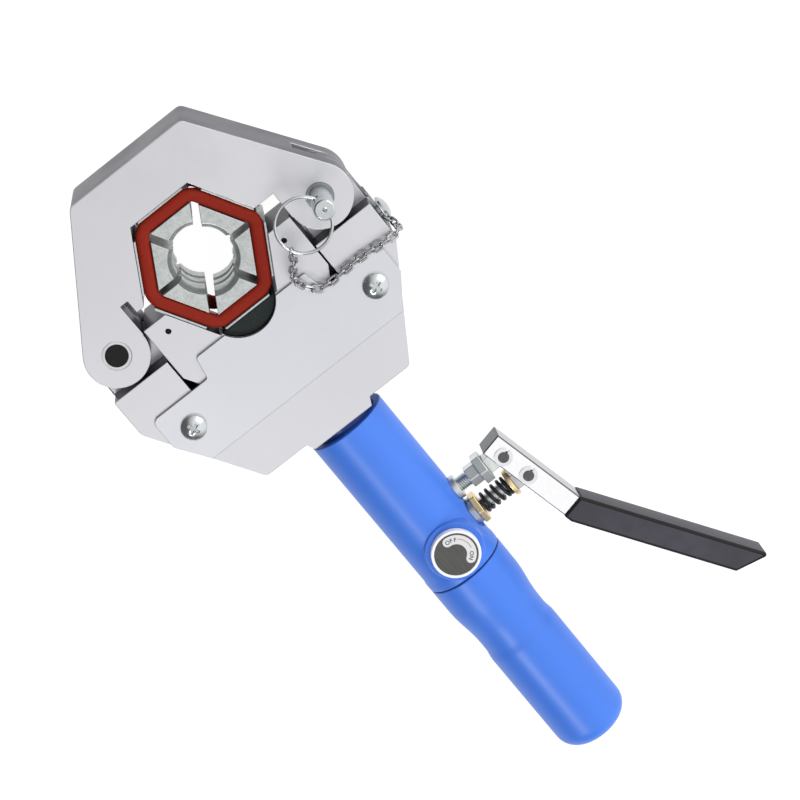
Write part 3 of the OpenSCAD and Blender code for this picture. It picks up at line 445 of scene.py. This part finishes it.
dress(["lock_pin", "chain_anchor"], zinc)
break_edges(["lock_pin"], 0.25 * mm)
ring_low, ring_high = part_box("pull_ring")
ring_wire = (ring_high.z - ring_low.z) / 2
ring_at = (ring_low + ring_high) / 2
ring_r = (ring_high.x - ring_low.x) / 2 - ring_wire
ring_shape = bmesh.new()
wire = bmesh.ops.create_circle(ring_shape, segments=14, radius=ring_wire)["verts"]
bmesh.ops.rotate(ring_shape, verts=wire, cent=(0, 0, 0), matrix=Matrix.Rotation(math.pi / 2, 3, "X"))
bmesh.ops.translate(ring_shape, verts=wire, vec=ring_at + Vector((ring_r, 0, 0)))
hoop(ring_shape, wire, ring_at, (0, 0, 1))
tail_turn = math.radians(57)
tail_len = 5 * mm
tail = bmesh.ops.create_cone(ring_shape, segments=14, cap_ends=True, radius1=ring_wire,
                             radius2=0.5 * ring_wire, depth=tail_len)
outwards = Vector((math.cos(tail_turn), math.sin(tail_turn), 0))
along = Vector((-math.sin(tail_turn), math.cos(tail_turn), 0))
tail_place = Matrix.Translation(ring_at + ring_r * outwards + along * tail_len / 2)
tail_way = along.to_track_quat("Z", "Y").to_matrix().to_4x4()
bmesh.ops.transform(ring_shape, matrix=tail_place @ tail_way, verts=tail["verts"])
pull_ring = piece("wire_pull_ring", ring_shape, [zinc], "lock_pin")
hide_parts("pull_ring")

chain_steel = rubbed_metal("chain_nickel", (0.46, 0.46, 0.47, 1), 0.18)
links = bmesh.new()
links.from_mesh(nodes["chain"].data)
chain = piece("tether_chain", links, [chain_steel])
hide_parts("chain")
fuller = chain.modifiers.new("fuller", "DISPLACE")
fuller.strength = 0.18 * mm
fuller.mid_level = 0
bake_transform(chain)


# Pump barrel and handle tube. The barrel and the reservoir tube are turned aluminium with a
# satin blue coat; they screw together on a spigot with a thin rubber seal between them.
def blue_coat(name):
    """Stoved blue paint with a faint orange peel."""
    finish = Finish(name)
    peel = finish.noise(700)
    cloud = finish.noise(18, detail=3.0)
    return finish.set({"Base Color": finish.mix(cloud, (0.042, 0.17, 0.69, 1), (0.05, 0.19, 0.75, 1)),
                       "Roughness": 0.38 + 0.06 * cloud, "Specular IOR Level": 0.42,
                       "Normal": finish.bump(peel, 0.025 * mm)})


tubes = ("pump_barrel", "handle_tube")
dress(tubes, blue_coat("blue_coat"))
break_edges(tubes, 0.7 * mm, 3)
seal_low, seal_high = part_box("joint_seal")
seal_r = seal_high.x
seal_t = seal_high.y - seal_low.y
seal_shape = bmesh.new()
lip = bmesh.ops.create_circle(seal_shape, segments=10, radius=seal_t / 2)["verts"]
bmesh.ops.translate(seal_shape, verts=lip, vec=(seal_r - seal_t / 2, (seal_low.y + seal_high.y) / 2, 0))
hoop(seal_shape, lip, (0, 0, 0), (0, 1, 0))
joint_seal = piece("joint_seal_ring", seal_shape, [seal_rubber], "frame")
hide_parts("joint_seal")
dress(["oil_bladder", "plunger_seal"], seal_rubber)
dress(["inlet_ball", "outlet_ball"], ground_steel)
valve_low, valve_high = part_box("outlet_spring")
valve_coil_r = 2.6 * mm
valve_wire_r = 0.4 * mm
valve_turns = 5
valve_len = valve_high.y - valve_low.y
valve_coil = coil((0, valve_low.y, 0), (0, 1, 0), valve_coil_r, valve_wire_r, valve_len, valve_turns)
valve_spring = piece("outlet_valve_spring", valve_coil, [ground_steel], "frame")
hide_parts("outlet_spring")


# Fulcrum stud, its lock nut and the gland nut. The stud is screwed into the barrel and carries
# the lever; the brass gland nut beside it guides the plunger. All three are turned from bar.
def turned_brass(name, color, foot, foot_end, rough):
    """Turned brass, plated on the foot that sits in the barrel."""
    finish = Finish(name)
    rub = finish.noise(900, detail=3.0)
    bare = finish.ramp(finish.component(finish.at, "X"), foot_end - 0.1 * mm, foot_end)
    turned = finish.mix(rub, color, shade(color, 0.8))
    return finish.set({"Metallic": 1.0, "Base Color": finish.mix(bare, foot, turned),
                       "Roughness": rough + 0.1 * rub})


gland_foot_end = 26.2 * mm
brass = turned_brass("turned_brass", (0.95, 0.76, 0.43, 1), (0.6, 0.62, 0.63, 1), gland_foot_end, 0.28)
dress(["fulcrum_stud", "fulcrum_nut"], rubbed_metal("dull_zinc", (0.72, 0.75, 0.74, 1), 0.27))
dress(["gland_nut", "plunger_washer"], brass)
break_edges(["fulcrum_stud", "fulcrum_nut", "gland_nut"], 0.5 * mm)
break_edges(["plunger_washer"], 0.3 * mm)
stud_y = -200 * mm
stud_r = 4 * mm
thread_start = 27 * mm
thread_len = 7 * mm
thread_pitch = 1.25 * mm
thread_h = 0.6 * mm
thread = bmesh.new()
crest = [(-0.5, -0.1), (-0.1, 1), (0.1, 1), (0.5, -0.1)]
profile = [(thread_start + thread_pitch * (0.5 + a), stud_y + stud_r + thread_h * b, 0) for a, b in crest]
ridge = [thread.verts.new(spot) for spot in profile]
ridge += [thread.edges.new((ridge[i], ridge[i + 1])) for i in range(3)]
thread_turns = thread_len / thread_pitch - 1
steps = round(thread_turns * 32)
rise = (thread_pitch * thread_turns / steps, 0, 0)
bmesh.ops.spin(thread, geom=ridge, cent=(0, stud_y, 0), axis=(1, 0, 0), dvec=rise,
               angle=2 * math.pi * thread_turns, steps=steps)
piece("stud_thread", thread, [zinc], "frame")

# Plunger and return spring. The ground steel plunger works in the gland; a black spring between
# the gland nut and a brass washer pushes it and the lever out again.
dress(["plunger"], ground_steel)
break_edges(["plunger"], 0.3 * mm)
spring_low, spring_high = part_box("plunger_spring")
plunger_y = (spring_low.y + spring_high.y) / 2
spring_r = 5.45 * mm
spring_wire_r = 1.05 * mm
spring_turns = 5.3
spring_len = spring_high.x - spring_low.x
spring_foot = (spring_low.x, plunger_y, 0)
plunger_coil = coil(spring_foot, (1, 0, 0), spring_r, spring_wire_r, spring_len, spring_turns)
plunger_spring = piece("plunger_return_spring", plunger_coil, [spring_black], "plunger")
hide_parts("plunger_spring")
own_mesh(plunger_spring)


# Lever. A bright plated channel pressed from sheet steel, held by two dark pins with spring
# clips; its lower half is dipped in a thick black vinyl grip.
def pressed_plate(name, face, wall_shade, end, axis, rough):
    """Bright plating on a pressed channel; its walls and cut ends are painted darker as shade, by the way
    they face.
    """
    finish = Finish(name)
    normal = finish.node("TexCoord", output="Normal")
    lengthwise = finish.node("VectorMath", {"operation": "DOT_PRODUCT"}, {0: normal, 1: axis}, "Value")
    shaded_ends = finish.ramp(abs(lengthwise), 0.6, 0.9)
    flat = finish.ramp(abs(finish.component(normal, "Z")), 0.5, 0.9)
    rub = finish.noise(700, finish.scaled(1, 0.3, 1), 3.0)
    plate = finish.mix(flat, finish.mix(shaded_ends, wall_shade, end), face)
    return finish.set({"Metallic": 1.0, "Base Color": finish.mix(rub * 0.3, plate, shade(face, 0.5)),
                       "Roughness": rough + 0.1 * rub})


lever_axis = (-0.26, 0.966, 0)
# The grey walls and near-black ends are painted shade.
plated = pressed_plate("bright_plate", (0.92, 0.92, 0.93, 1), (0.5, 0.51, 0.52, 1),
                       (0.055, 0.058, 0.062, 1), lever_axis, 0.28)
# The rounded edges of the channel get a dark grey: a painted reflection of dark surroundings.
bend_dark_reflection = rubbed_metal("bend_dark_reflection", (0.12, 0.12, 0.13, 1), 0.3)
dress(["lever"], plated, bend_dark_reflection)
break_edges(["lever"], 0.7 * mm, 3)
lever_pins = ("fulcrum_pin", "plunger_pin")
dress(lever_pins, black_steel("pin_grey", (0.085, 0.085, 0.09, 1), 0.42))
break_edges(lever_pins, 0.4 * mm)
clip_in = 3.3 * mm
clip_out = 5.4 * mm
clip_t = 0.8 * mm
clip_gap = math.radians(22)
clip_way = math.radians(24)
channel_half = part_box("lever")[1].z
clip_shape = bmesh.new()
for pin in lever_pins:
    low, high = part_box(pin)
    centre = (low + high) / 2
    for face in (channel_half, -channel_half - clip_t):
        corners = [(clip_in, face), (clip_out, face), (clip_out, face + clip_t), (clip_in, face + clip_t)]
        spots = [clip_shape.verts.new((centre.x + r, centre.y, z)) for r, z in corners]
        section = clip_shape.faces.new(spots)
        start = Matrix.Rotation(clip_way + clip_gap / 2, 3, "Z")
        bmesh.ops.rotate(clip_shape, verts=section.verts, cent=centre, matrix=start)
        whole = [section, *section.verts, *section.edges]
        bmesh.ops.spin(clip_shape, geom=whole, cent=centre, axis=(0, 0, 1),
                       angle=2 * math.pi - clip_gap, steps=40)
clip_plate = rubbed_metal("clip_plate", (0.8, 0.8, 0.82, 1), 0.24)
clips = piece("spring_clips", clip_shape, [clip_plate], "lever")
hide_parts("pin_clips")


def vinyl(name, color):
    """Dipped black vinyl, faintly glossy with a pebbled skin."""
    finish = Finish(name)
    pebble = finish.noise(1500, detail=3.0)
    wear = finish.ramp(finish.noise(45, detail=4.0), 0.4, 0.8)
    return finish.set({"Base Color": finish.mix(wear, shade(color, 0.8), shade(color, 1.1)),
                       "Roughness": 0.45 + 0.1 * wear, "Specular IOR Level": 0.2,
                       "Normal": finish.bump(pebble, 0.04 * mm)})


grip_shape = bmesh.new()
grip_shape.from_mesh(nodes["lever_grip"].data)
bmesh.ops.remove_doubles(grip_shape, verts=grip_shape.verts, dist=0.002 * mm)
bmesh.ops.dissolve_limit(grip_shape, angle_limit=math.radians(0.6), verts=grip_shape.verts,
                         edges=grip_shape.edges)
grip_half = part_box("lever_grip")[1].z


def on_grip_face(edge):
    return all(abs(abs(v.co.z) - grip_half) < 0.01 * mm for v in edge.verts)


outer = [e for e in grip_shape.edges if e.calc_face_angle(0) > 1.2 and on_grip_face(e)]
bmesh.ops.bevel(grip_shape, geom=outer, offset=1.8 * mm, segments=5, profile=0.5,
                affect="EDGES", material=1)
grip_face = vinyl("black_vinyl", (0.062, 0.058, 0.074, 1))
# The near-black vinyl on the grip's rounded edges is painted shade.
grip_edge_shade = vinyl("vinyl_edge_shade", (0.01, 0.0095, 0.011, 1))
grip = piece("vinyl_grip", grip_shape, [grip_face, grip_edge_shade], "lever")
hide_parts("lever_grip")


# Release knob. A white moulded knob on a steel needle, with a dark brushed dial let into its
# face; a pale arc printed on the dial shows which way to turn it.
def moulded(name, color):
    """Matt moulded plastic or print."""
    finish = Finish(name)
    grain = finish.noise(1800)
    return finish.set({"Base Color": finish.mix(grain, shade(color, 0.94), color),
                       "Roughness": 0.42 + 0.1 * grain})


def brushed_dial(name):
    """Dark sheet brushed along Y."""
    finish = Finish(name)
    lines = finish.noise(900, finish.scaled(1, 0.06, 1), 3.0)
    grey = finish.mix(lines, (0.045, 0.045, 0.043, 1), (0.1, 0.1, 0.096, 1))
    return finish.set({"Metallic": 0.5, "Base Color": grey, "Roughness": 0.4 + 0.15 * lines})


dress(["release_knob"], moulded("knob_white", (0.86, 0.87, 0.9, 1)))
break_edges(["release_knob"], 0.4 * mm, 3)
dress(["knob_dial"], brushed_dial("dial_grey"))
dress(["release_needle"], ground_steel)
dial_low, dial_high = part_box("knob_dial")
dial_at = Vector(((dial_low.x + dial_high.x) / 2, (dial_low.y + dial_high.y) / 2, dial_high.z))
arc_r = 8.9 * mm
arc_half = 2.75 * mm
arc_off = math.radians(88)
arc_on = math.radians(-55)
line_r = arc_r + 0.4 * mm
line_half = 0.16 * mm
line_start = math.radians(48)
line_end = math.radians(-13)
ink_t = 0.12 * mm


def at_dial(radius, angle, height=0.0):
    return dial_at + Vector((radius * math.cos(angle), radius * math.sin(angle), height))


def arc_strip(radius, half, start, end, base, top):
    """Flat strip along an arc of the dial, with round ends."""
    shape = bmesh.new()
    rungs = [[shape.verts.new(at_dial(radius + side, angle, base)) for side in (-half, 0, half)]
             for angle in (start, end)]
    bars = [[shape.edges.new(rung[i:i + 2]) for i in (0, 1)] for rung in rungs]
    bmesh.ops.spin(shape, geom=rungs[0] + bars[0], cent=dial_at, axis=(0, 0, 1),
                   angle=end - start, steps=48)
    for rung, bar, turn in zip(rungs, bars, (math.pi, -math.pi)):
        bmesh.ops.spin(shape, geom=rung[1:] + bar[1:], cent=rung[1].co, axis=(0, 0, 1),
                       angle=turn, steps=20)
    bmesh.ops.remove_doubles(shape, verts=shape.verts, dist=0.002 * mm)
    thicken(shape, list(shape.faces), top - base)
    return shape


print_grey = moulded("print_grey", (0.7, 0.69, 0.7, 1))
red_ink = moulded("red_ink", (0.3, 0.12, 0.1, 1))
black_ink = moulded("black_ink", (0.06, 0.06, 0.065, 1))
arc_shape = arc_strip(arc_r, arc_half, arc_off, arc_on, 0, ink_t)
piece("dial_arc", arc_shape, [print_grey], "knob")
line_shape = arc_strip(line_r, line_half, line_start, line_end, ink_t, 1.6 * ink_t)
piece("dial_line", line_shape, [red_ink], "knob")
letter_h = 2.4 * mm
letters = bmesh.new()
for word, first, step in (("OFF", 88, -15), ("ON", -35, -18)):
    for i, letter in enumerate(word):
        text = bpy.data.curves.new("letter", "FONT")
        text.body = letter
        text.size = letter_h * 1.4
        text.align_x = "CENTER"
        text.extrude = 0.3 * ink_t
        text.offset = 0.06 * mm
        holder = bpy.data.objects.new("letter", text)
        mesh = holder.to_mesh()
        angle = math.radians(first + step * i)
        place = Matrix.Translation(at_dial(arc_r - letter_h / 2, angle, 1.2 * ink_t))
        mesh.transform(place @ Matrix.Rotation(angle - math.pi / 2, 4, "Z"))
        letters.from_mesh(mesh)
        holder.to_mesh_clear()
        bpy.data.objects.remove(holder)
        bpy.data.curves.remove(text)
piece("dial_words", letters, [black_ink], "knob")

# Studio. A pale floor under the tool, a strip light beyond the handle on the left, a fill from
# the lever's side and a sky that is darker on the left; the camera stands where the photograph
# was taken.
scene = bpy.context.scene
scene.view_settings.view_transform = "Standard"
floor_shape = bmesh.new()
bmesh.ops.create_grid(floor_shape, x_segments=1, y_segments=1, size=6)
bmesh.ops.translate(floor_shape, verts=floor_shape.verts, vec=(0, 0, cad_low.z))
floor_mesh = bpy.data.meshes.new("floor")
floor_shape.to_mesh(floor_mesh)
floor_shape.free()
floor = bpy.data.objects.new("floor", floor_mesh)
scene.collection.objects.link(floor)
paper = Finish("paper")
paper_tone = paper.mix(paper.noise(4), (0.15, 0.15, 0.15, 1), (0.17, 0.17, 0.17, 1))
floor_mesh.materials.append(paper.set({"Base Color": paper_tone, "Roughness": 0.9,
                                       "Emission Color": (1, 1, 1, 1), "Emission Strength": 0.94}))
floor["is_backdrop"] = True


def soft_box(name, at, toward, width, height, power):
    """Rectangular area light turned to a point."""
    light = bpy.data.lights.new(name, "AREA")
    light.shape = "RECTANGLE"
    light.size = width
    light.size_y = height
    light.energy = power
    lamp = bpy.data.objects.new(name, light)
    lamp.location = at
    lamp.rotation_euler = (Vector(toward) - Vector(at)).to_track_quat("-Z", "Y").to_euler()
    scene.collection.objects.link(lamp)


soft_box("handle_strip", (-1.2, -1.1, 1.7), (0.02, -1.1, 0), 0.8, 0.25, 20)
soft_box("lever_side_fill", (1.5, 0.2, 1.0), (0.02, -0.15, 0), 1.2, 1.2, 7)
world = bpy.data.worlds.new("studio")
world.use_nodes = True
scene.world = world
sky = world.node_tree
rays = sky.nodes.new("ShaderNodeTexCoord")
lean = sky.nodes.new("ShaderNodeVectorMath")
lean.operation = "DOT_PRODUCT"
lean.inputs[1].default_value = (1.1, -0.3, 1)
fade = sky.nodes.new("ShaderNodeMapRange")
for name, value in (("From Min", 0.2), ("From Max", 1.16), ("To Min", 0.15), ("To Max", 1.32)):
    fade.inputs[name].default_value = value
sky.links.new(rays.outputs["Generated"], lean.inputs[0])
sky.links.new(lean.outputs["Value"], fade.inputs["Value"])
sky.links.new(fade.outputs[0], sky.nodes["Background"].inputs["Strength"])
sky.nodes["Background"].inputs["Color"].default_value = (1, 1, 1, 1)

lens = bpy.data.cameras.new("photo_view")
lens.sensor_width = 36
lens.lens = 108
camera = bpy.data.objects.new("photo_view", lens)
camera.location = (167.2 * mm, 244.3 * mm, 1302.7 * mm)
camera.rotation_euler = [math.radians(a) for a in (-16.41, -5.55, -37.69)]
scene.collection.objects.link(camera)
scene.camera = camera

low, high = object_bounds()
